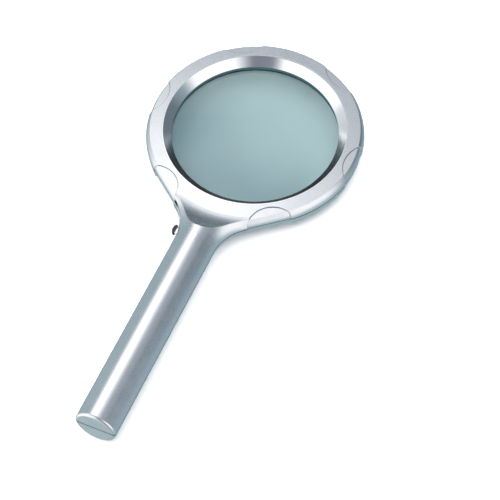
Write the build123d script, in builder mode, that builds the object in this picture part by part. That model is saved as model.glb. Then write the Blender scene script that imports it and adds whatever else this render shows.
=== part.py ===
"""Illuminated hand lens: a two-shell silver head and handle round a biconvex lens, with a side
slide switch, two small lamps at the neck and two cylindrical cells under a slide-off cover.

Millimetres. X runs across the lens, Y from the handle's end (-) to the far rim of the head (+),
Z up out of the front face. The origin is at the bottom centre of the whole object's box.
"""

from build123d import *
from math import acos, atan2, cos, degrees, hypot, radians, sin, sqrt
import os

os.makedirs("parts", exist_ok=True)

# ------------------------------------------------------------------ driving dimensions
HEAD_R = 58.8  # outer radius of the head at the parting plane
FACE_Z = 5.3  # front face of the head, above the parting plane
REAR_Z = -6.0  # rear face of the head
SIDE_R = 7.5  # radius of the rounded side wall
OPENING_R = 50.0  # hole in the front shell that holds the bezel
CLEAR_R = 45.0  # free radius of the lens
LENS_R = 46.5
LENS_FRONT_Z = -1.2  # front corner of the lens edge
LENS_REAR_Z = -3.4  # rear corner of the lens edge
LENS_FRONT_CURVE = 200.0
LENS_REAR_CURVE = 500.0

HANDLE_R = 11.0
HANDLE_END = 194.7  # lens centre to the flat end of the handle
END_ROUND = 1.3
NECK_BLEND_R = 24.9  # concave blend from the handle's side to the head
NECK_BLEND_D = 78.5  # where that blend leaves the handle, from the lens centre
DISH_START_R = 58.0  # where the face starts to rise into the handle
DISH_CURVE = 21.0
FULLNESS = (1.75, 2.0)  # superellipse exponent of the neck's section, at the head and the handle
FULLNESS_D = (61.0, 74.0)  # where it starts and stops changing, from the lens centre
NECK_END = 82.0  # where the neck's loft gives way to the plain handle

WALL = 1.6
BORE_R = 9.5  # inside of the handle
SHELL_CHANNEL = (51.3, 56.6)  # hollow of the front shell's rim, inner and outer radius
LENS_WALL_R = (46.8, 48.4)  # rear shell's wall round the lens edge
RECESS = 0.55  # depth of the six finger scallops
SCALLOP_R = 16.7
SCALLOP_CENTRE = 68.7
NECK_SCALLOP_R = 13.45
NECK_SCALLOP_AT = (34.4, -55.5)
PARTING_LINE = (0.5, 0.5)  # height and depth of the groove round the parting plane
GAP = 0.3  # between bodies that move on each other

CELL_R = 7.1
CELL_LENGTH = 50.5
CELL_START = 85.0  # positive end of the first cell, from the lens centre
COVER_START = 90.0
COVER_JOINT = 0.5  # open joint between the cover and the front shell
CATCH = 1.3  # square section of the lips that run on the front shell's hooked rails
THUMB_GROOVES = (5, 2.4)  # number and spacing
SWITCH_D = 73.6  # middle of the switch knob, from the lens centre
SWITCH_TRAVEL = 3.0

SCREW_CIRCLE_R = 53.95
SCREW_ANGLES = (-150, -30, 30, 150)
NECK_SCREW_AT = [(2.6, -77.6)]
POST_R = 2.8
PILOT_R = 1.0
SCREW_HOLE_R = 1.1
COUNTERBORE_R = 2.0
RIM_SCREW_SEAT = REAR_Z + 2.3  # underside of the screw heads
NECK_SCREW_SEAT = -7.4

# ------------------------------------------------------------------ frame
LENS_Y = (HANDLE_END + HEAD_R) / 2 - HEAD_R
PARTING_Z = HANDLE_R
LENS_AXIS = Axis((0, LENS_Y, PARTING_Z), (0, 0, 1))
HANDLE_AXIS = Axis((0, LENS_Y, PARTING_Z), (0, 1, 0))


def level(z):
    """Horizontal plane at height z over the parting plane, centred on the lens."""
    return Plane(origin=(0, LENS_Y, PARTING_Z + z))


def station(d):
    """Plane across the handle, d from the lens centre: sketch x is X, sketch y is Z."""
    return Plane(origin=(0, LENS_Y - d, PARTING_Z), x_dir=(1, 0, 0), z_dir=(0, -1, 0))


def side_plane(x):
    """Plane at x facing +X: sketch x runs toward the head, sketch y is Z."""
    return Plane(origin=(x, LENS_Y, PARTING_Z), x_dir=(0, 1, 0), z_dir=(1, 0, 0))


# The straight shoulder touches both the head circle and the neck blend circle.
BLEND_X = HANDLE_R + NECK_BLEND_R
SHOULDER_ANGLE = atan2(BLEND_X, NECK_BLEND_D) + acos(
    (HEAD_R + NECK_BLEND_R) / hypot(BLEND_X, NECK_BLEND_D)
)
SHOULDER_LENGTH = NECK_BLEND_D * sin(SHOULDER_ANGLE) - BLEND_X * cos(SHOULDER_ANGLE)
SHOULDER_END_D = HEAD_R * cos(SHOULDER_ANGLE) + SHOULDER_LENGTH * sin(SHOULDER_ANGLE)
NECK_STATIONS = (46, 50, 54, SHOULDER_END_D, 62, 65, 68, 71.5, 75, NECK_BLEND_D, NECK_END)


def on_shoulder(along, radius=HEAD_R):
    """Point on the right-hand shoulder line, along it from the head circle."""
    x = radius * sin(SHOULDER_ANGLE) - along * cos(SHOULDER_ANGLE)
    y = -radius * cos(SHOULDER_ANGLE) - along * sin(SHOULDER_ANGLE)
    return (x, y)


def write(piece, name):
    """Label a finished piece and write it to its own file."""
    piece.part.label = name
    export_step(piece.part, f"parts/{name}.step")


# ------------------------------------------------------------------ inner layout
POCKET = ((-14, -53), (14, -53), (14, -58), (10.5, -64), (9, -71), (-9, -71), (-10.5, -64), (-14, -58))
RIM_SCREWS = [(SCREW_CIRCLE_R * cos(radians(a)), SCREW_CIRCLE_R * sin(radians(a))) for a in SCREW_ANGLES]
SLOT_D = (SWITCH_D - 2.5 - GAP, SWITCH_D + 2.5 + SWITCH_TRAVEL + GAP)
SLOT_HALF = 1.3
CHANNEL_TOP = FACE_Z - WALL
REAR_FLOOR = REAR_Z + WALL
INNER_WALL = 1.2  # ribs and the wall behind the spring
SPRING_WALL_D = HANDLE_END - 3.0
CONTACT_WALL_D = (CELL_START - 2.5, CELL_START - 0.8)
RIBS = (95, 115, 145, 165)
POSITIVE_WIRE_HOLE = (-3.2, -1.6)
STRIP_SLOT = ((-2.4, 2.4), (CONTACT_WALL_D[0] - 1, HANDLE_END - 2.6), (7.95, 9.0))
LAMPS = [(6.8, -50.6), (-6.8, -50.6)]
BOARD_POSTS = [(9.5, -57.0), (-9.5, -57.0)]
BOARD_Z = (-1.6, -0.6)


# ------------------------------------------------------------------ outer form
def neck_half_width(d):
    """Half width of the outline at the parting plane."""
    if d < SHOULDER_END_D:
        return (HEAD_R - d * cos(SHOULDER_ANGLE)) / sin(SHOULDER_ANGLE)
    if d < NECK_BLEND_D:
        return BLEND_X - sqrt(NECK_BLEND_R**2 - (NECK_BLEND_D - d) ** 2)
    return HANDLE_R


def neck_section(d):
    """Upper half of the neck's section: a half superellipse, round on the handle, on a base line."""
    width = neck_half_width(d)
    if d < NECK_BLEND_D:
        share = min(1, max(0, (d - FULLNESS_D[0]) / (FULLNESS_D[1] - FULLNESS_D[0])))
        power = 2 / (FULLNESS[0] + (FULLNESS[1] - FULLNESS[0]) * share)
        right = []
        for angle in range(0, 90, 10):
            right.append((width * cos(radians(angle)) ** power, HANDLE_R * sin(radians(angle)) ** power))
        left = [(-x, z) for x, z in reversed(right)]
        Spline([*right, (0, HANDLE_R), *left], tangents=[(0, 1), (0, -1)])
    else:
        CenterArc((0, 0), HANDLE_R, 0, 180)
    Line((width, 0), (-width, 0))


def neck():
    """Upper half of the neck, from inside the head to the straight handle."""
    with BuildPart() as flare:
        for d in NECK_STATIONS:
            with BuildSketch(station(d)):
                with BuildLine():
                    neck_section(d)
                make_face()
        loft()
    return flare.part


def rim_section(inset, front):
    """Edges of the head rim's half section, x as radius, with its outside moved in by inset."""
    outer = HEAD_R - inset
    if front:
        top = FACE_Z - inset
        lean = degrees(atan2(top, sqrt(SIDE_R**2 - top**2)))
        side = CenterArc((outer - SIDE_R, 0), SIDE_R, 0, lean)
        Polyline(side @ 1, (OPENING_R - 1, top), (OPENING_R - 1, 0), side @ 0)
    else:
        bottom = REAR_Z + inset
        draft = Line((outer, 0), (outer - 0.4, bottom + 2.3))
        corner = SagittaArc(draft @ 1, (outer - 2.6, bottom), 0.62)
        Polyline(corner @ 1, (CLEAR_R - 1, bottom), (CLEAR_R - 1, 0), draft @ 0)


def recessed_rim(front):
    """The rim inside the scallops: the head circle, its two shoulders and a filling ring."""
    turn = 360 - 2 * degrees(SHOULDER_ANGLE)
    shoulder = Plane(
        origin=(0, LENS_Y, PARTING_Z),
        x_dir=(sin(SHOULDER_ANGLE), -cos(SHOULDER_ANGLE), 0),
        z_dir=(-cos(SHOULDER_ANGLE), -sin(SHOULDER_ANGLE), 0),
    )
    with BuildPart() as rim:
        with BuildSketch(shoulder):
            with BuildLine():
                rim_section(RECESS, front)
            make_face()
        revolve(axis=LENS_AXIS, revolution_arc=turn)
        with BuildSketch(shoulder):
            with BuildLine():
                rim_section(RECESS, front)
            make_face()
        extrude(amount=SHOULDER_LENGTH)
        mirror(about=Plane.YZ)
        with BuildSketch(level(0)):
            Circle(HEAD_R - SIDE_R + 2)
            Circle(OPENING_R - 1 if front else CLEAR_R - 1, mode=Mode.SUBTRACT)
        extrude(amount=FACE_Z - RECESS if front else REAR_Z + RECESS)
    return rim.part


def scallops():
    """Six finger scallops round the head, two of them on the shoulders."""
    with BuildPart() as cutters:
        with BuildSketch(level(REAR_Z - 1)):
            with PolarLocations(SCALLOP_CENTRE, 4, angular_range=240):
                Circle(SCALLOP_R)
            with Locations(NECK_SCALLOP_AT, (-NECK_SCALLOP_AT[0], NECK_SCALLOP_AT[1])):
                Circle(NECK_SCALLOP_R)
        extrude(amount=FACE_Z - REAR_Z + 2)
    return cutters.part


def dish(face_z, curve):
    """Everything above the face and the hollow that sweeps from it up to the handle."""
    height = HANDLE_R + 3
    reach = sqrt(curve**2 - (face_z + curve - height) ** 2)
    lean = degrees(atan2(reach, face_z + curve - height))
    with BuildPart() as sweep_tool:
        with BuildSketch(station(0)):
            with BuildLine():
                floor = Line((40, face_z), (DISH_START_R, face_z))
                CenterArc((DISH_START_R, face_z + curve), curve, -90, lean)
                rise = (DISH_START_R + reach, height)
                Polyline(rise, (40, height), floor @ 0)
            make_face()
        revolve(axis=LENS_AXIS)
    return sweep_tool.part


def handle_half():
    """Upper half of the straight handle, rounded at its flat end."""
    with BuildPart() as half:
        with BuildSketch(level(0)):
            with BuildLine():
                corner = CenterArc((HANDLE_R - END_ROUND, END_ROUND - HANDLE_END), END_ROUND, -90, 90)
                Polyline(corner @ 1, (HANDLE_R, -NECK_END), (0, -NECK_END), (0, -HANDLE_END), corner @ 0)
            make_face()
        revolve(axis=HANDLE_AXIS, revolution_arc=-180)
    return half.part


# ------------------------------------------------------------------ shared tools
def ring(inner, outer, z_from, z_to):
    """Flat ring, or a disc where inner is 0, round the lens axis."""
    with BuildPart() as band:
        with BuildSketch(level(z_from)):
            Circle(outer)
            if inner:
                Circle(inner, mode=Mode.SUBTRACT)
        extrude(amount=z_to - z_from)
    return band.part


def half_bore(d_from, d_to, radius, upper):
    """Half-round bar along the handle, above or below the parting plane."""
    with BuildPart() as hollow:
        with BuildSketch(station(d_from)):
            Circle(radius)
            with Locations((0, -radius if upper else radius)):
                Rectangle(2 * radius, 2 * radius, mode=Mode.SUBTRACT)
        extrude(amount=d_to - d_from)
    return hollow.part


def block(x, d, z):
    """Plain block from its lowest and highest x, distance along the handle, and z."""
    with BuildPart() as brick:
        with BuildSketch(level(z[0])):
            with Locations(((x[0] + x[1]) / 2, -(d[0] + d[1]) / 2)):
                Rectangle(x[1] - x[0], d[1] - d[0])
        extrude(amount=z[1] - z[0])
    return brick.part


def posts(points, radius, z_from, z_to):
    """Round posts, pins or holes standing at plan points measured from the lens centre."""
    with BuildPart() as pins:
        with BuildSketch(level(z_from)):
            with Locations(*points):
                Circle(radius)
        extrude(amount=z_to - z_from)
    return pins.part


def neck_hollow(upper):
    """Handle bore run forward into the neck, kept a wall's thickness under the dish."""
    face = FACE_Z - WALL if upper else -REAR_Z - WALL
    with BuildPart() as hollow:
        add(half_bore(60, COVER_START, BORE_R, True))
        add(dish(face, DISH_CURVE + WALL), mode=Mode.SUBTRACT)
        with BuildSketch(level(0)):
            Polygon(*POCKET, align=None)
        extrude(amount=face)
    return hollow.part if upper else hollow.part.mirror(level(0))


def outline(inset):
    """Plan of head, shoulders and neck at the parting plane, with its edge moved in."""
    blend_r = NECK_BLEND_R + inset
    tail = -NECK_BLEND_D - 30
    foot = on_shoulder(SHOULDER_LENGTH, HEAD_R - inset)
    sweep = degrees(atan2(foot[1] + NECK_BLEND_D, BLEND_X - foot[0]))
    with BuildSketch() as plan:
        with BuildLine():
            blend = CenterArc((BLEND_X, -NECK_BLEND_D), blend_r, 180, -sweep)
            Polyline(
                blend @ 1, on_shoulder(0, HEAD_R - inset), (0, 0), (0, tail),
                (HANDLE_R - inset, tail), blend @ 0,
            )
        make_face()
        mirror(about=Plane.YZ)
        Circle(HEAD_R - inset)
    return plan.sketch


def parting_groove():
    """Thin skin taken off the rear shell's edge, which leaves the parting line."""
    with BuildPart() as groove:
        with BuildSketch(level(-PARTING_LINE[0])):
            add(outline(-1))
            add(outline(PARTING_LINE[1]), mode=Mode.SUBTRACT)
        extrude(amount=PARTING_LINE[0] + 1)
    return groove.part


# ------------------------------------------------------------------ front shell
with BuildPart() as front_shell:
    add(neck())
    add(handle_half())
    with BuildSketch(station(0)):
        with BuildLine():
            rim_section(0, True)
        make_face()
    revolve(axis=LENS_AXIS)
    add(dish(FACE_Z, DISH_CURVE), mode=Mode.SUBTRACT)
    add(scallops(), mode=Mode.SUBTRACT)
    add(recessed_rim(True))
    # hollow inside
    add(ring(0, OPENING_R, -1, FACE_Z + 1), mode=Mode.SUBTRACT)
    add(ring(*SHELL_CHANNEL, 0, CHANNEL_TOP), mode=Mode.SUBTRACT)
    add(neck_hollow(True), mode=Mode.SUBTRACT)
    add(half_bore(COVER_START - 1, HANDLE_END - 1.5, BORE_R, True), mode=Mode.SUBTRACT)
    # screw posts with blind pilot holes
    add(posts(RIM_SCREWS, POST_R, 0, CHANNEL_TOP + 0.4))
    add(posts(RIM_SCREWS, PILOT_R, 0, CHANNEL_TOP - 0.4), mode=Mode.SUBTRACT)
    add(posts(NECK_SCREW_AT, POST_R, 0, BORE_R))
    add(posts(NECK_SCREW_AT, PILOT_R, 0, 6.5), mode=Mode.SUBTRACT)
    # walls and ribs that hold the cells
    add(half_bore(*CONTACT_WALL_D, BORE_R + 0.1, True))
    add(half_bore(*CONTACT_WALL_D, BORE_R - GAP, False))
    add(half_bore(SPRING_WALL_D, SPRING_WALL_D + INNER_WALL, BORE_R + 0.1, True))
    add(half_bore(SPRING_WALL_D, SPRING_WALL_D + INNER_WALL, CELL_R, False))
    for d in RIBS:
        with BuildPart(mode=Mode.PRIVATE) as rib:
            add(half_bore(d, d + INNER_WALL, BORE_R + 0.1, True))
            add(half_bore(d - 1, d + INNER_WALL + 1, CELL_R + GAP, True), mode=Mode.SUBTRACT)
        add(rib.part)
    add(block(*STRIP_SLOT), mode=Mode.SUBTRACT)
    with BuildSketch(station(CONTACT_WALL_D[0] - 1)):
        with Locations(POSITIVE_WIRE_HOLE):
            Circle(0.9)
    extrude(amount=3, mode=Mode.SUBTRACT)
    # hooked rails for the cover
    with BuildSketch(station(COVER_START + 2)):
        with BuildLine():
            Polyline(
                (7.5, 1.2), (9.7, 1.2), (9.7, 0), (8.2, 0), (8.2, -1.9),
                (8.8, -1.9), (8.8, -2.6), (7.5, -2.6), close=True,
            )
        make_face()
        mirror(about=Plane.YZ)
    extrude(amount=SPRING_WALL_D - COVER_START - 4)
    # upper half of the switch slot
    add(block((-HANDLE_R - 2, -BORE_R + 1.5), SLOT_D, (-SLOT_HALF, SLOT_HALF)), mode=Mode.SUBTRACT)
write(front_shell, "front_shell")

# ------------------------------------------------------------------ rear shell
with BuildPart() as rear_shell:
    add(neck().mirror(level(0)))
    add(half_bore(NECK_END, COVER_START - GAP, HANDLE_R, False))
    with BuildSketch(station(0)):
        with BuildLine():
            rim_section(0, False)
        make_face()
    revolve(axis=LENS_AXIS)
    add(dish(-REAR_Z, DISH_CURVE).mirror(level(0)), mode=Mode.SUBTRACT)
    add(scallops(), mode=Mode.SUBTRACT)
    add(recessed_rim(False))
    # lens opening, lens seat and the hollow behind the wall round the lens
    with BuildSketch(station(0)):
        with BuildLine():
            Polyline(
                (0, 1), (LENS_WALL_R[0], 1), (LENS_WALL_R[0], LENS_REAR_Z), (CLEAR_R, LENS_REAR_Z),
                (CLEAR_R + 2.4, REAR_Z - 0.1), (0, REAR_Z - 0.1), close=True,
            )
        make_face()
    revolve(axis=LENS_AXIS, mode=Mode.SUBTRACT)
    add(ring(LENS_WALL_R[0] - 1, LENS_WALL_R[1] + 1, -GAP, 1), mode=Mode.SUBTRACT)
    add(ring(LENS_WALL_R[1], SHELL_CHANNEL[1], REAR_FLOOR, 0), mode=Mode.SUBTRACT)
    add(neck_hollow(False), mode=Mode.SUBTRACT)
    add(half_bore(COVER_START - 2, COVER_START, BORE_R, False), mode=Mode.SUBTRACT)
    # counterbored screw posts and the two posts under the lamp board
    add(posts(RIM_SCREWS, POST_R, REAR_Z, 0))
    add(posts(RIM_SCREWS, SCREW_HOLE_R, REAR_Z, 0), mode=Mode.SUBTRACT)
    add(posts(RIM_SCREWS, COUNTERBORE_R, REAR_Z - 1, RIM_SCREW_SEAT), mode=Mode.SUBTRACT)
    add(posts(NECK_SCREW_AT, POST_R, -BORE_R - 0.5, 0))
    add(posts(NECK_SCREW_AT, SCREW_HOLE_R, -HANDLE_R, 0), mode=Mode.SUBTRACT)
    add(posts(NECK_SCREW_AT, COUNTERBORE_R, -HANDLE_R - 1, NECK_SCREW_SEAT), mode=Mode.SUBTRACT)
    add(posts(BOARD_POSTS, 1.5, REAR_FLOOR - 0.3, BOARD_Z[0]))
    # lamp windows
    add(posts(LAMPS, 1.6, REAR_Z - 1, REAR_FLOOR + 0.5), mode=Mode.SUBTRACT)
    # lower half of the switch slot, then the parting line
    add(block((-HANDLE_R - 2, -BORE_R + 1.5), SLOT_D, (-SLOT_HALF, SLOT_HALF)), mode=Mode.SUBTRACT)
    add(parting_groove(), mode=Mode.SUBTRACT)
write(rear_shell, "rear_shell")

# ------------------------------------------------------------------ battery cover
with BuildPart() as battery_cover:
    add(handle_half().mirror(level(0)))
    add(half_bore(NECK_END - 1, COVER_START, HANDLE_R + 1, False), mode=Mode.SUBTRACT)
    add(half_bore(COVER_START - 1, HANDLE_END - 1.5, BORE_R, False), mode=Mode.SUBTRACT)
    with BuildSketch(station(COVER_START + 1)):
        for side in (-1, 1):
            with Locations((side * (BORE_R - 0.35), -GAP - CATCH / 2)):
                Rectangle(CATCH, CATCH)
    extrude(amount=HANDLE_END - COVER_START - 2)
    # flush top edge, a joint's width below the front shell
    add(block((-12, 12), (COVER_START - 1, HANDLE_END + 1), (-COVER_JOINT, 1)), mode=Mode.SUBTRACT)
    # thumb grooves across the back
    for step in range(THUMB_GROOVES[0]):
        with BuildSketch(station(COVER_START + 8 + THUMB_GROOVES[1] * step)):
            with Locations((0, -HANDLE_R)):
                Rectangle(11, 1.6)
            Circle(HANDLE_R - 0.5, mode=Mode.SUBTRACT)
        extrude(amount=1.0, mode=Mode.SUBTRACT)
write(battery_cover, "battery_cover")

# ------------------------------------------------------------------ bezel, gasket and lens
with BuildPart() as bezel_ring:
    with BuildSketch(station(0)):
        with BuildLine():
            Polyline(
                (49.4, FACE_Z), (OPENING_R, FACE_Z), (OPENING_R, 4.3), (CLEAR_R + 1.6, 1.0),
                (CLEAR_R, 1.0), close=True,
            )
        make_face()
    revolve(axis=LENS_AXIS)
write(bezel_ring, "bezel_ring")

with BuildPart() as lens_gasket:
    add(ring(CLEAR_R, CLEAR_R + 1.5, LENS_FRONT_Z, 1.0))
write(lens_gasket, "lens_gasket")

front_crown = LENS_FRONT_Z + LENS_FRONT_CURVE - sqrt(LENS_FRONT_CURVE**2 - CLEAR_R**2)
rear_crown = LENS_REAR_Z - LENS_REAR_CURVE + sqrt(LENS_REAR_CURVE**2 - CLEAR_R**2)
with BuildPart() as lens:
    with BuildSketch(station(0)):
        with BuildLine():
            front = RadiusArc((0, front_crown), (CLEAR_R, LENS_FRONT_Z), LENS_FRONT_CURVE)
            rear = RadiusArc((CLEAR_R, LENS_REAR_Z), (0, rear_crown), LENS_REAR_CURVE)
            Polyline(front @ 1, (LENS_R, LENS_FRONT_Z), (LENS_R, LENS_REAR_Z), rear @ 0)
            Line(rear @ 1, front @ 0)
        make_face()
    revolve(axis=LENS_AXIS)
write(lens, "lens")

# ------------------------------------------------------------------ switch
KNOB_LINE = ((-13.15, 1.7 - SWITCH_D), (-13.5, 0.2 - SWITCH_D), (-13.35, -1.3 - SWITCH_D))
KNOB_THICKNESS = 1.9
KNOB_HALF = 1.8
STEM_HALF = (1.9, 1.0)
TONGUE_X = (-8.9, -7.6)
with BuildPart() as switch_knob:
    with BuildSketch(level(-KNOB_HALF)):
        with BuildLine() as spine:
            ThreePointArc(*KNOB_LINE)
        SlotArc(spine.edge(), KNOB_THICKNESS)
    extrude(amount=2 * KNOB_HALF)
    fillet(switch_knob.faces().sort_by(Axis.Z)[-1].edges(), 0.3)
    fillet(switch_knob.faces().sort_by(Axis.Z)[0].edges(), 0.3)
write(switch_knob, "switch_knob")

with BuildPart() as switch_slider:
    stem_d = (SWITCH_D - STEM_HALF[0], SWITCH_D + STEM_HALF[0])
    add(block((KNOB_LINE[1][0], TONGUE_X[0]), stem_d, (-STEM_HALF[1], STEM_HALF[1])))
    add(switch_knob.part, mode=Mode.SUBTRACT)
    add(block(TONGUE_X, (SWITCH_D - 1.4, SWITCH_D + 1.4), (-0.6, 0.6)))
write(switch_slider, "switch_slider")

SWITCH_BODY_D = (68.6, 81.0)
with BuildPart() as switch_body:
    add(block((-8.6, -4.6), SWITCH_BODY_D, (-2.6, 2.6)))
    add(
        block((-9, -7.2), (SWITCH_D - 1.8, SWITCH_D + 1.8 + SWITCH_TRAVEL), (-0.95, 0.95)),
        mode=Mode.SUBTRACT,
    )
write(switch_body, "switch_body")

with BuildPart() as switch_terminals:
    for d in (70.6, 74.8, 79.0):
        add(block((-4.6, -2.6), (d - 0.6, d + 0.6), (-0.2, 0.2)))
write(switch_terminals, "switch_terminals")

# ------------------------------------------------------------------ lamps and their board
with BuildPart() as led_board:
    add(block((-12, 12), (49.2, 61.5), BOARD_Z))
    add(ring(0, 49.0, -4, 2), mode=Mode.SUBTRACT)
write(led_board, "led_board")

with BuildPart() as leds:
    with BuildSketch(level(REAR_Z - 0.4)):
        with Locations(*LAMPS):
            Circle(1.5)
    extrude(amount=3.4)
    fillet(leds.faces().sort_by(Axis.Z)[:2].edges(), 1.2)
    add(posts(LAMPS, 1.9, REAR_Z + 3.0, REAR_Z + 3.9))
    for x, y in LAMPS:
        add(posts([(x - 0.65, y), (x + 0.65, y)], 0.25, REAR_Z + 3.9, BOARD_Z[0]))
write(leds, "leds")

RESISTOR_Y = -58.0
with BuildPart() as resistor:
    with BuildSketch(side_plane(-2.4)):
        with Locations((RESISTOR_Y, BOARD_Z[1] + 1.15)):
            Circle(0.95)
    extrude(amount=4.8)
    fillet(resistor.edges(), 0.3)
    for x in (-3.6, 3.1):
        add(block((x, x + 0.5), (-RESISTOR_Y - 0.25, -RESISTOR_Y + 0.25), (BOARD_Z[1], BOARD_Z[1] + 1.4)))
    add(block((-3.6, 3.6), (-RESISTOR_Y - 0.25, -RESISTOR_Y + 0.25), (BOARD_Z[1] + 0.9, BOARD_Z[1] + 1.4)))
write(resistor, "resistor")

# ------------------------------------------------------------------ cells and contacts
for name, start in (("battery_front", CELL_START), ("battery_rear", CELL_START + CELL_LENGTH)):
    with BuildPart() as cell:
        with BuildSketch(station(start)):
            Circle(2.7)
        extrude(amount=1.2)
        with BuildSketch(station(start + 1.0)):
            Circle(CELL_R)
        extrude(amount=CELL_LENGTH - 1.0)
        fillet(cell.edges().filter_by(GeomType.CIRCLE).group_by(SortBy.RADIUS)[-1], 0.5)
    write(cell, name)

with BuildPart() as positive_contact:
    with BuildSketch(station(CELL_START - 0.8)):
        Rectangle(9, 10)
    extrude(amount=0.4)
    with BuildSketch(station(CELL_START - 0.4)):
        Circle(2.0)
    extrude(amount=0.4)
write(positive_contact, "positive_contact")

SPRING_PLATE_D = SPRING_WALL_D - 0.4
SPRING_START = CELL_START + 2 * CELL_LENGTH
with BuildPart() as spring_plate:
    with BuildSketch(station(SPRING_PLATE_D)):
        RectangleRounded(11, 11, 1)
        with Locations((0, 6.5)):
            Rectangle(4, 3.5)
    extrude(amount=0.4)
write(spring_plate, "spring_plate")

WIRE = 0.8
SPRING_LENGTH = SPRING_PLATE_D - SPRING_START
with BuildPart() as spring_contact:
    turns_height = SPRING_LENGTH - WIRE
    pitch = turns_height / 4
    centre = (0, LENS_Y - SPRING_START - WIRE / 2, PARTING_Z)
    with BuildLine():
        coil = Helix(pitch, turns_height, 4.0, center=centre, direction=(0, -1, 0))
    with BuildSketch(Plane(origin=coil @ 0, z_dir=coil % 0)):
        Circle(WIRE / 2)
    sweep(is_frenet=True)
write(spring_contact, "spring_contact")

with BuildPart() as return_strip:
    add(block((-2, 2), (CONTACT_WALL_D[0] - 2, SPRING_PLATE_D + 0.4), (8.25, 8.65)))
write(return_strip, "return_strip")

# ------------------------------------------------------------------ screws
SCREW_HEAD = (1.85, 1.4)  # radius and height
SHANK_R = 0.95
for name, points, seat, tip in (
    ("ring_screws", RIM_SCREWS, RIM_SCREW_SEAT, 3.0),
    ("neck_screw", NECK_SCREW_AT, NECK_SCREW_SEAT, 6.0),
):
    with BuildPart() as screws:
        add(posts(points, SCREW_HEAD[0], seat - SCREW_HEAD[1], seat))
        add(posts(points, SHANK_R, seat, tip))
        for x, y in points:
            with BuildSketch(level(seat - SCREW_HEAD[1])):
                with Locations((x, y)):
                    Rectangle(2.4, 0.5)
                    Rectangle(0.5, 2.4)
            extrude(amount=0.8, mode=Mode.SUBTRACT)
    write(screws, name)

# ------------------------------------------------------------------ wires
WIRE_R = 0.6


def wire(route, radii, name):
    """Insulated wire of straight runs and tangent arcs through points x, y and z."""
    placed = [(x, LENS_Y + y, PARTING_Z + z) for x, y, z in route]
    with BuildPart() as lead:
        with BuildLine():
            path = FilletPolyline(*placed, radius=radii)
        with BuildSketch(Plane(origin=path @ 0, z_dir=path % 0)):
            Circle(WIRE_R)
        sweep()
    write(lead, name)
    print(name, "length", round(path.length, 1), "radii", radii)


wire(((-3.2, -84.2, -1.6), (-3.2, -81.4, -1.5), (-3.2, -78.6, -0.82)), [8], "wire_positive")
wire(
    ((-3.2, -71.2, -0.82), (-3.2, -66.8, -0.82), (-4.4, -63.6, 0.02), (-5.6, -59.6, 0.02)),
    [6, 10],
    "wire_switched",
)
wire(
    ((-1.4, -81.8, 7.62), (-1.4, -74.5, 7.0), (0.5, -66.0, 2.2), (2.5, -60.4, 0.02)),
    [12, 20],
    "wire_return",
)
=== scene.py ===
"""Looks of the illuminated hand lens: materials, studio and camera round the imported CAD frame."""

import math

import bpy
from mathutils import Matrix, Vector


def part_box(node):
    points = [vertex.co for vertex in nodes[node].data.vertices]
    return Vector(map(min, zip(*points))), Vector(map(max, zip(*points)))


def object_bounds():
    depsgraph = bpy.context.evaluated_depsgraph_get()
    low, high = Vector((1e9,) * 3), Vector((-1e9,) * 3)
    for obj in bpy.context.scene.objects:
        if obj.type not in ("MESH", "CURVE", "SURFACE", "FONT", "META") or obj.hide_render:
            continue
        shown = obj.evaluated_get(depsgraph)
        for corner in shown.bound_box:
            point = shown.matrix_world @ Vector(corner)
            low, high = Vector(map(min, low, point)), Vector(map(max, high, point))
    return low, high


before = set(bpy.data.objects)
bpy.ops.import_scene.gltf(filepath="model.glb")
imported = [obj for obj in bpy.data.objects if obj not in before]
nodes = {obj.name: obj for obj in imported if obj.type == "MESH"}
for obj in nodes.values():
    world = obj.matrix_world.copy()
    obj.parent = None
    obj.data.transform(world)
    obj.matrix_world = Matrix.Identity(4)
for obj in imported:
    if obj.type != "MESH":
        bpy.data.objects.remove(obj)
cad_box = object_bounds()
MM = 0.001

# ------------------------------------------------------------------ places in the frame
lens_low, lens_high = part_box("lens")
LENS_Y = (lens_low.y + lens_high.y) / 2
LENS_SHADE_ACROSS = (0.35, 0.94)  # direction in X and Y along which the lens's painted shade varies
# where along it the lens's painted shade starts and stops getting paler, then starts and stops getting
# deeper
LENS_SHADE_STEPS = [LENS_Y * LENS_SHADE_ACROSS[1] + offset * MM for offset in (-20, 30, 45, 75)]
LENS_SHADE_CLOUDS = 26.0  # noise scale of the painted shade's clouds
LENS_SHADE_SHIFT = 26 * MM  # how far the clouds can shift it
FLOOR_Z = cad_box[0][2]
JOINT_Z = (11.0 - 0.25) * MM  # middle of the groove between front and rear shell
NECK_FLANK = 7.5 * MM  # crevice darkening is left off the neck within this distance of y = 0


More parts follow.
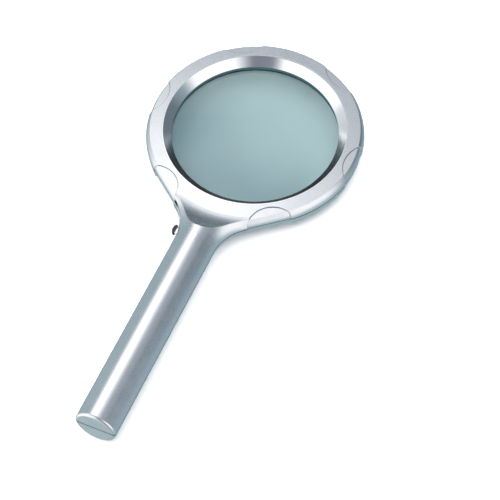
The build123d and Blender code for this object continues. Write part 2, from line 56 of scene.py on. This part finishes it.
# ------------------------------------------------------------------ node helpers
class Nodes:
    """Short names for building a shader tree."""

    def __init__(self, owner):
        owner.use_nodes = True
        self.tree = owner.node_tree
        self.tree.nodes.clear()

    def add(self, kind, inputs=None, **settings):
        node = self.tree.nodes.new(kind)
        for key, value in settings.items():
            setattr(node, key, value)
        for key, value in (inputs or {}).items():
            self.put(node.inputs[key], value)
        return node

    def put(self, socket, value):
        if isinstance(value, bpy.types.NodeSocket):
            self.tree.links.new(value, socket)
        else:
            socket.default_value = value

    def math(self, operation, *values, clamp=False):
        node = self.add("ShaderNodeMath", operation=operation, use_clamp=clamp)
        for socket, value in zip(node.inputs, values):
            self.put(socket, value)
        return node.outputs[0]

    def smooth(self, value, low, high, to_low=0.0, to_high=1.0):
        node = self.add("ShaderNodeMapRange", interpolation_type="SMOOTHSTEP")
        for key, number in (
            ("Value", value), ("From Min", low), ("From Max", high),
            ("To Min", to_low), ("To Max", to_high),
        ):
            self.put(node.inputs[key], number)
        return node.outputs[0]

    def mix(self, factor, first, second, blend="MIX"):
        node = self.add("ShaderNodeMix", data_type="RGBA", blend_type=blend)
        self.put(node.inputs[0], factor)
        self.put(node.inputs[6], first)
        self.put(node.inputs[7], second)
        return node.outputs[2]

    def noise(self, vector, scale, detail=3.0, roughness=0.5):
        node = self.add("ShaderNodeTexNoise", {"Vector": vector, "Scale": scale, "Detail": detail})
        node.inputs["Roughness"].default_value = roughness
        return node.outputs["Fac"]


def new_material(name):
    material = bpy.data.materials.new(name)
    shader = Nodes(material)
    place = shader.add("ShaderNodeTexCoord").outputs["Object"]
    surface = shader.add("ShaderNodeBsdfPrincipled")
    out = shader.add("ShaderNodeOutputMaterial")
    shader.put(out.inputs["Surface"], surface.outputs["BSDF"])
    return material, shader, surface, place, out


def dress(node_name, material):
    mesh = nodes[node_name].data
    mesh.materials.clear()
    mesh.materials.append(material)


# ------------------------------------------------------------------ materials
def crevices(shader, place, colour, reach):
    """Darken a colour as painted shade where occlusion gathers, in joints, steps and grooves, but not
    on the neck.
    """
    open_sky = shader.add("ShaderNodeAmbientOcclusion", {"Distance": reach}, samples=12).outputs["AO"]
    unshaded = shader.smooth(open_sky, 0.50, 0.90)
    _, along, height = shader.add("ShaderNodeSeparateXYZ", {0: place}).outputs
    # left off the neck, where it turned a low step in the CAD's flank into a black crescent
    on_neck = shader.smooth(shader.math("ABSOLUTE", along), NECK_FLANK, NECK_FLANK + MM, 1.0, 0.0)
    unshaded = shader.math("MAXIMUM", unshaded, on_neck)
    # painted shade: a dark band along the joint, wider than the groove itself
    off_joint = shader.math("ABSOLUTE", shader.math("SUBTRACT", height, JOINT_Z))
    unshaded = shader.math("MULTIPLY", unshaded, shader.smooth(off_joint, 0.25 * MM, 0.60 * MM, 0.25, 1.0))
    # the dark colour of the painted shade
    return shader.mix(unshaded, (0.10, 0.125, 0.13, 1), colour)


def satin_silver():
    """Silver lacquer over moulded plastic: fine flake, faint orange peel, uneven gloss."""
    material, shader, surface, place, _ = new_material("satin_silver")
    flake = shader.noise(place, 5200.0, 2.0)
    cloud = shader.noise(place, 34.0, 4.0)
    marks = shader.noise(place, 160.0, 6.0, 0.65)
    tone = shader.mix(cloud, (0.80, 0.805, 0.83, 1), (0.86, 0.865, 0.885, 1))
    tone = shader.mix(shader.math("MULTIPLY", flake, 0.12), tone, (0.62, 0.63, 0.66, 1))
    # base colour with painted shade in joints, steps and grooves
    shader.put(surface.inputs["Base Color"], crevices(shader, place, tone, 0.7 * MM))
    surface.inputs["Metallic"].default_value = 1.0
    shader.put(surface.inputs["Roughness"], shader.smooth(marks, 0.3, 0.75, 0.25, 0.32))
    # rounds the highlight on edges that are sharp in the CAD
    rounded = shader.add("ShaderNodeBevel", {"Radius": 0.25 * MM}, samples=6)
    peel = shader.add(
        "ShaderNodeBump",
        {"Height": shader.noise(place, 900.0, 2.0), "Strength": 0.06, "Distance": 0.05 * MM},
    )
    shader.put(peel.inputs["Normal"], rounded.outputs[0])
    shader.put(surface.inputs["Normal"], peel.outputs[0])
    return material


def polished_bezel():
    """Polished aluminium: near mirror, with slightly uneven gloss."""
    material, shader, surface, place, _ = new_material("polished_bezel")
    surface.inputs["Base Color"].default_value = (0.93, 0.935, 0.945, 1)
    surface.inputs["Metallic"].default_value = 1.0
    smear = shader.noise(place, 60.0, 4.0)
    shader.put(surface.inputs["Roughness"], shader.smooth(smear, 0.3, 0.8, 0.12, 0.17))
    return material


def plain(name, colour, roughness, metallic=0.0, grain=400.0, relief=0.1):
    """A moulded, plated or coated surface with mottled colour, varied gloss and fine relief."""
    material, shader, surface, place, _ = new_material(name)
    speckle = shader.noise(place, grain, 4.0)
    dark = tuple(channel * 0.82 for channel in colour)
    shader.put(surface.inputs["Base Color"], shader.mix(speckle, (*dark, 1), (*colour, 1)))
    surface.inputs["Metallic"].default_value = metallic
    low, high = roughness * 0.8, min(1.0, roughness * 1.25)
    shader.put(surface.inputs["Roughness"], shader.smooth(speckle, 0.3, 0.7, low, high))
    bump = shader.add("ShaderNodeBump", {"Height": speckle, "Strength": relief, "Distance": 0.1 * MM})
    shader.put(surface.inputs["Normal"], bump.outputs[0])
    return material


def tinted_lens():
    """Clear acrylic with a blue-green tint, graded with painted shade that stands in for what is
    reflected in and seen through the disc.
    """
    material, shader, surface, place, out = new_material("tinted_lens")
    # painted shade: the tint is deeper toward the handle, and a little deeper at the far rim
    east, north, _ = shader.add("ShaderNodeSeparateXYZ", {0: place}).outputs
    across = shader.math("MULTIPLY", north, LENS_SHADE_ACROSS[1])
    across = shader.math("MULTIPLY_ADD", east, LENS_SHADE_ACROSS[0], across)
    cloudy = shader.math("MULTIPLY_ADD", shader.noise(place, LENS_SHADE_CLOUDS, 2.0), LENS_SHADE_SHIFT, across)
    rise = shader.smooth(cloudy, LENS_SHADE_STEPS[0], LENS_SHADE_STEPS[1])
    fall = shader.smooth(cloudy, LENS_SHADE_STEPS[2], LENS_SHADE_STEPS[3], 1.0, 0.35)
    paleness = shader.math("MULTIPLY", rise, fall)
    tint_and_shade = shader.mix(paleness, (0.38, 0.50, 0.53, 1), (0.62, 0.735, 0.735, 1))
    shader.put(surface.inputs["Base Color"], tint_and_shade)
    surface.inputs["Specular IOR Level"].default_value = 0.3
    surface.inputs["Transmission Weight"].default_value = 1.0
    surface.inputs["IOR"].default_value = 1.49
    dust = shader.noise(place, 300.0, 5.0)
    shader.put(surface.inputs["Roughness"], shader.smooth(dust, 0.55, 0.9, 0.0, 0.03))
    # shadow rays pass straight through, a little dimmed, so that it throws no dark shadow
    clear = shader.add("ShaderNodeBsdfTransparent", {"Color": (0.74, 0.80, 0.81, 1)})
    passing = shader.add("ShaderNodeLightPath").outputs["Is Shadow Ray"]
    glass = shader.add("ShaderNodeMixShader", {0: passing})
    shader.put(glass.inputs[1], surface.outputs["BSDF"])
    shader.put(glass.inputs[2], clear.outputs[0])
    shader.put(out.inputs["Surface"], glass.outputs[0])
    return material


silver = satin_silver()
for part in ("front_shell", "rear_shell", "battery_cover"):
    dress(part, silver)
dress("bezel_ring", polished_bezel())
dress("lens", tinted_lens())
dress("lens_gasket", plain("gasket_rubber", (0.08, 0.18, 0.19), 0.55))
dress("switch_knob", plain("knob_black", (0.012, 0.012, 0.014), 0.5, relief=0.04))
dress("switch_slider", plain("slider_nylon", (0.82, 0.82, 0.82), 0.45))
dress("switch_body", plain("switch_case", (0.56, 0.57, 0.58), 0.35, 1.0))
contact = plain("nickel_contact", (0.72, 0.69, 0.62), 0.3, 1.0)
for part in ("switch_terminals", "positive_contact", "spring_contact", "spring_plate", "return_strip"):
    dress(part, contact)
dress("led_board", plain("board_green", (0.03, 0.16, 0.07), 0.4))
dress("leds", plain("lamp_epoxy", (0.85, 0.88, 0.86), 0.12))
dress("resistor", plain("resistor_lacquer", (0.6, 0.48, 0.3), 0.4))
cell = plain("cell_jacket", (0.05, 0.055, 0.07), 0.3)
for part in ("battery_front", "battery_rear"):
    dress(part, cell)
zinc = plain("screw_zinc", (0.6, 0.6, 0.6), 0.35, 1.0)
for part in ("ring_screws", "neck_screw"):
    dress(part, zinc)
red = plain("wire_red", (0.45, 0.02, 0.02), 0.4)
dress("wire_positive", red)
dress("wire_switched", red)
dress("wire_return", plain("wire_black", (0.02, 0.02, 0.02), 0.4))


# ------------------------------------------------------------------ studio
def studio_floor():
    """Seamless white table, curved up far behind. The metal mirrors the world's ground, not this."""
    half, rise, rings = 3.0, 1.2, 24
    points, faces = [], []
    for step in range(rings + 1):
        turn = math.radians(90) * step / rings
        y = half + rise * math.sin(turn)
        z = FLOOR_Z + rise * (1 - math.cos(turn))
        points += [(-half * 1.5, y, z), (half * 1.5, y, z)]
    points = [(-half * 1.5, -half, FLOOR_Z), (half * 1.5, -half, FLOOR_Z)] + points
    for row in range(rings + 1):
        faces.append((2 * row, 2 * row + 1, 2 * row + 3, 2 * row + 2))
    mesh = bpy.data.meshes.new("studio_floor")
    mesh.from_pydata(points, [], faces)
    floor = bpy.data.objects.new("studio_floor", mesh)
    bpy.context.scene.collection.objects.link(floor)
    floor.visible_glossy = False
    material, _, surface, _, _ = new_material("paper_white")
    surface.inputs["Base Color"].default_value = (0.93, 0.93, 0.93, 1)
    surface.inputs["Roughness"].default_value = 0.9
    surface.inputs["Specular IOR Level"].default_value = 0.0
    mesh.materials.append(material)


def studio_world():
    """Surroundings that light the scene and show in reflections: wall, ceiling and ground.

    Their tones are set for the photo's angle and are less believable from others.
    """
    world = bpy.data.worlds.new("studio")
    bpy.context.scene.world = world
    shader = Nodes(world)
    way = shader.add("ShaderNodeTexCoord").outputs["Generated"]
    east, north, height = shader.add("ShaderNodeSeparateXYZ", {0: way}).outputs

    # wall brightness and tint by compass angle: degrees from +X toward +Y, and linear colour
    wall = (
        (-180, (0.66, 0.72, 0.76)),
        (-165, (1.25, 1.25, 1.25)),
        (-106, (1.25, 1.25, 1.25)),
        (-87, (0.22, 0.24, 0.29)),
        (-66, (0.20, 0.22, 0.27)),
        (-38, (1.20, 1.20, 1.22)),
        (0, (1.15, 1.18, 1.20)),
        (21, (0.26, 0.33, 0.38)),
        (40, (0.14, 0.18, 0.21)),
        (95, (0.12, 0.15, 0.18)),
        (125, (0.17, 0.25, 0.26)),
        (150, (0.34, 0.44, 0.47)),
        (180, (0.66, 0.72, 0.76)),
    )
    turn = shader.add("ShaderNodeTexGradient", {"Vector": way}, gradient_type="RADIAL")
    ramp = shader.add("ShaderNodeValToRGB", {"Fac": turn.outputs["Fac"]})
    ramp.color_ramp.interpolation = "EASE"
    stops = ramp.color_ramp.elements
    stops.remove(stops[1])
    for number, (angle, colour) in enumerate(wall):
        position = (angle + 180) / 360
        stop = stops[0] if number == 0 else stops.new(position)
        stop.position = position
        stop.color = (*colour, 1)
    wall_colour = ramp.outputs["Color"]
    # the ceiling comes lower at the back, and the wall reaches further down at the front
    slope = shader.math("MULTIPLY_ADD", north, 0.25, height)
    ceiling = shader.mix(shader.smooth(slope, 0.60, 0.84), wall_colour, (0.36, 0.41, 0.46, 1))
    near = shader.math("MULTIPLY_ADD", east, -0.42, shader.math("MULTIPLY", north, -0.90))
    near = shader.math("MULTIPLY", shader.math("MAXIMUM", near, 0.0), 0.87)
    depth = shader.math("ADD", height, near)
    room = shader.mix(shader.smooth(depth, -0.55, -0.02, 0.85, 0.0), ceiling, (0.34, 0.46, 0.52, 1))
    # straight below it is a dull blue-green
    steep = shader.smooth(height, -0.88, -0.66, 1.0, 0.0)
    room = shader.mix(steep, room, (0.36, 0.49, 0.52, 1))
    back = shader.add("ShaderNodeBackground", {"Color": room, "Strength": 1.0})
    out = shader.add("ShaderNodeOutputWorld")
    shader.put(out.inputs["Surface"], back.outputs[0])


def softbox(name, centre, aim, width, length, turn, soft, strength):
    """Glowing card with faded edges, seen only in glossy reflections. Width and length in metres."""
    mesh = bpy.data.meshes.new(name)
    half = (width / 2 + soft, length / 2 + soft)
    corners = [(x * half[0], y * half[1], 0) for x, y in ((-1, -1), (1, -1), (1, 1), (-1, 1))]
    mesh.from_pydata(corners, [], [(0, 1, 2, 3)])
    card = bpy.data.objects.new(name, mesh)
    bpy.context.scene.collection.objects.link(card)
    facing = (Vector(aim) - Vector(centre)).to_track_quat("-Z", "Y").to_matrix()
    card.matrix_world = Matrix.Translation(centre) @ (facing @ Matrix.Rotation(turn, 3, "Z")).to_4x4()
    for flag in ("visible_camera", "visible_diffuse", "visible_transmission", "visible_shadow"):
        setattr(card, flag, False)
    material = bpy.data.materials.new(name)
    shader = Nodes(material)
    place = shader.add("ShaderNodeTexCoord").outputs["Object"]
    split = shader.add("ShaderNodeSeparateXYZ", {0: place})
    fades = []
    for axis in (0, 1):
        off_centre = shader.math("ABSOLUTE", split.outputs[axis])
        fades.append(shader.smooth(off_centre, half[axis] - 2 * soft, half[axis], 1.0, 0.0))
    level = shader.math("MULTIPLY", *fades)
    glow = shader.add("ShaderNodeEmission", {"Strength": strength})
    clear = shader.add("ShaderNodeBsdfTransparent")
    blend = shader.add("ShaderNodeMixShader", {0: level})
    shader.put(blend.inputs[1], clear.outputs[0])
    shader.put(blend.inputs[2], glow.outputs[0])
    out = shader.add("ShaderNodeOutputMaterial")
    shader.put(out.inputs["Surface"], blend.outputs[0])
    mesh.materials.append(material)


def overhead_fill():
    """Large soft lamp that isn't mirrored in the metal or seen through the lens."""
    data = bpy.data.lights.new("overhead_fill", "AREA")
    data.shape = "DISK"
    data.size = 4.4
    data.energy = 150.0
    lamp = bpy.data.objects.new("overhead_fill", data)
    bpy.context.scene.collection.objects.link(lamp)
    lamp.location = (-0.35, 0.25, 2.0)
    lamp.rotation_euler = (-lamp.location).to_track_quat("-Z", "Y").to_euler()
    lamp.visible_glossy = False
    lamp.visible_transmission = False


def camera():
    """Long lens looking down from the right of the handle."""
    azimuth, elevation, roll = math.radians(-25.28), math.radians(56.74), math.radians(-1.72)
    aim = Vector((27.7, -1.5, 11.0)) * MM
    distance = 1.0228
    level = math.cos(elevation)
    look = Vector((math.sin(azimuth) * level, math.cos(azimuth) * level, -math.sin(elevation)))
    turn = look.to_track_quat("-Z", "Y").to_matrix() @ Matrix.Rotation(roll, 3, "Z")
    data = bpy.data.cameras.new("camera")
    data.lens = 142.3
    data.sensor_width = 36.0
    item = bpy.data.objects.new("camera", data)
    bpy.context.scene.collection.objects.link(item)
    item.matrix_world = Matrix.Translation(aim - look * distance) @ turn.to_4x4()
    bpy.context.scene.camera = item


studio_floor()
studio_world()
softbox(
    "overhead_softbox", centre=(-0.138, 0.11, 0.37), aim=(-0.138, 0.11, 0.0), width=0.27, length=0.33,
    turn=math.radians(18), soft=0.12, strength=1.95,
)
overhead_fill()
camera()
bpy.context.scene.view_settings.view_transform = "Standard"
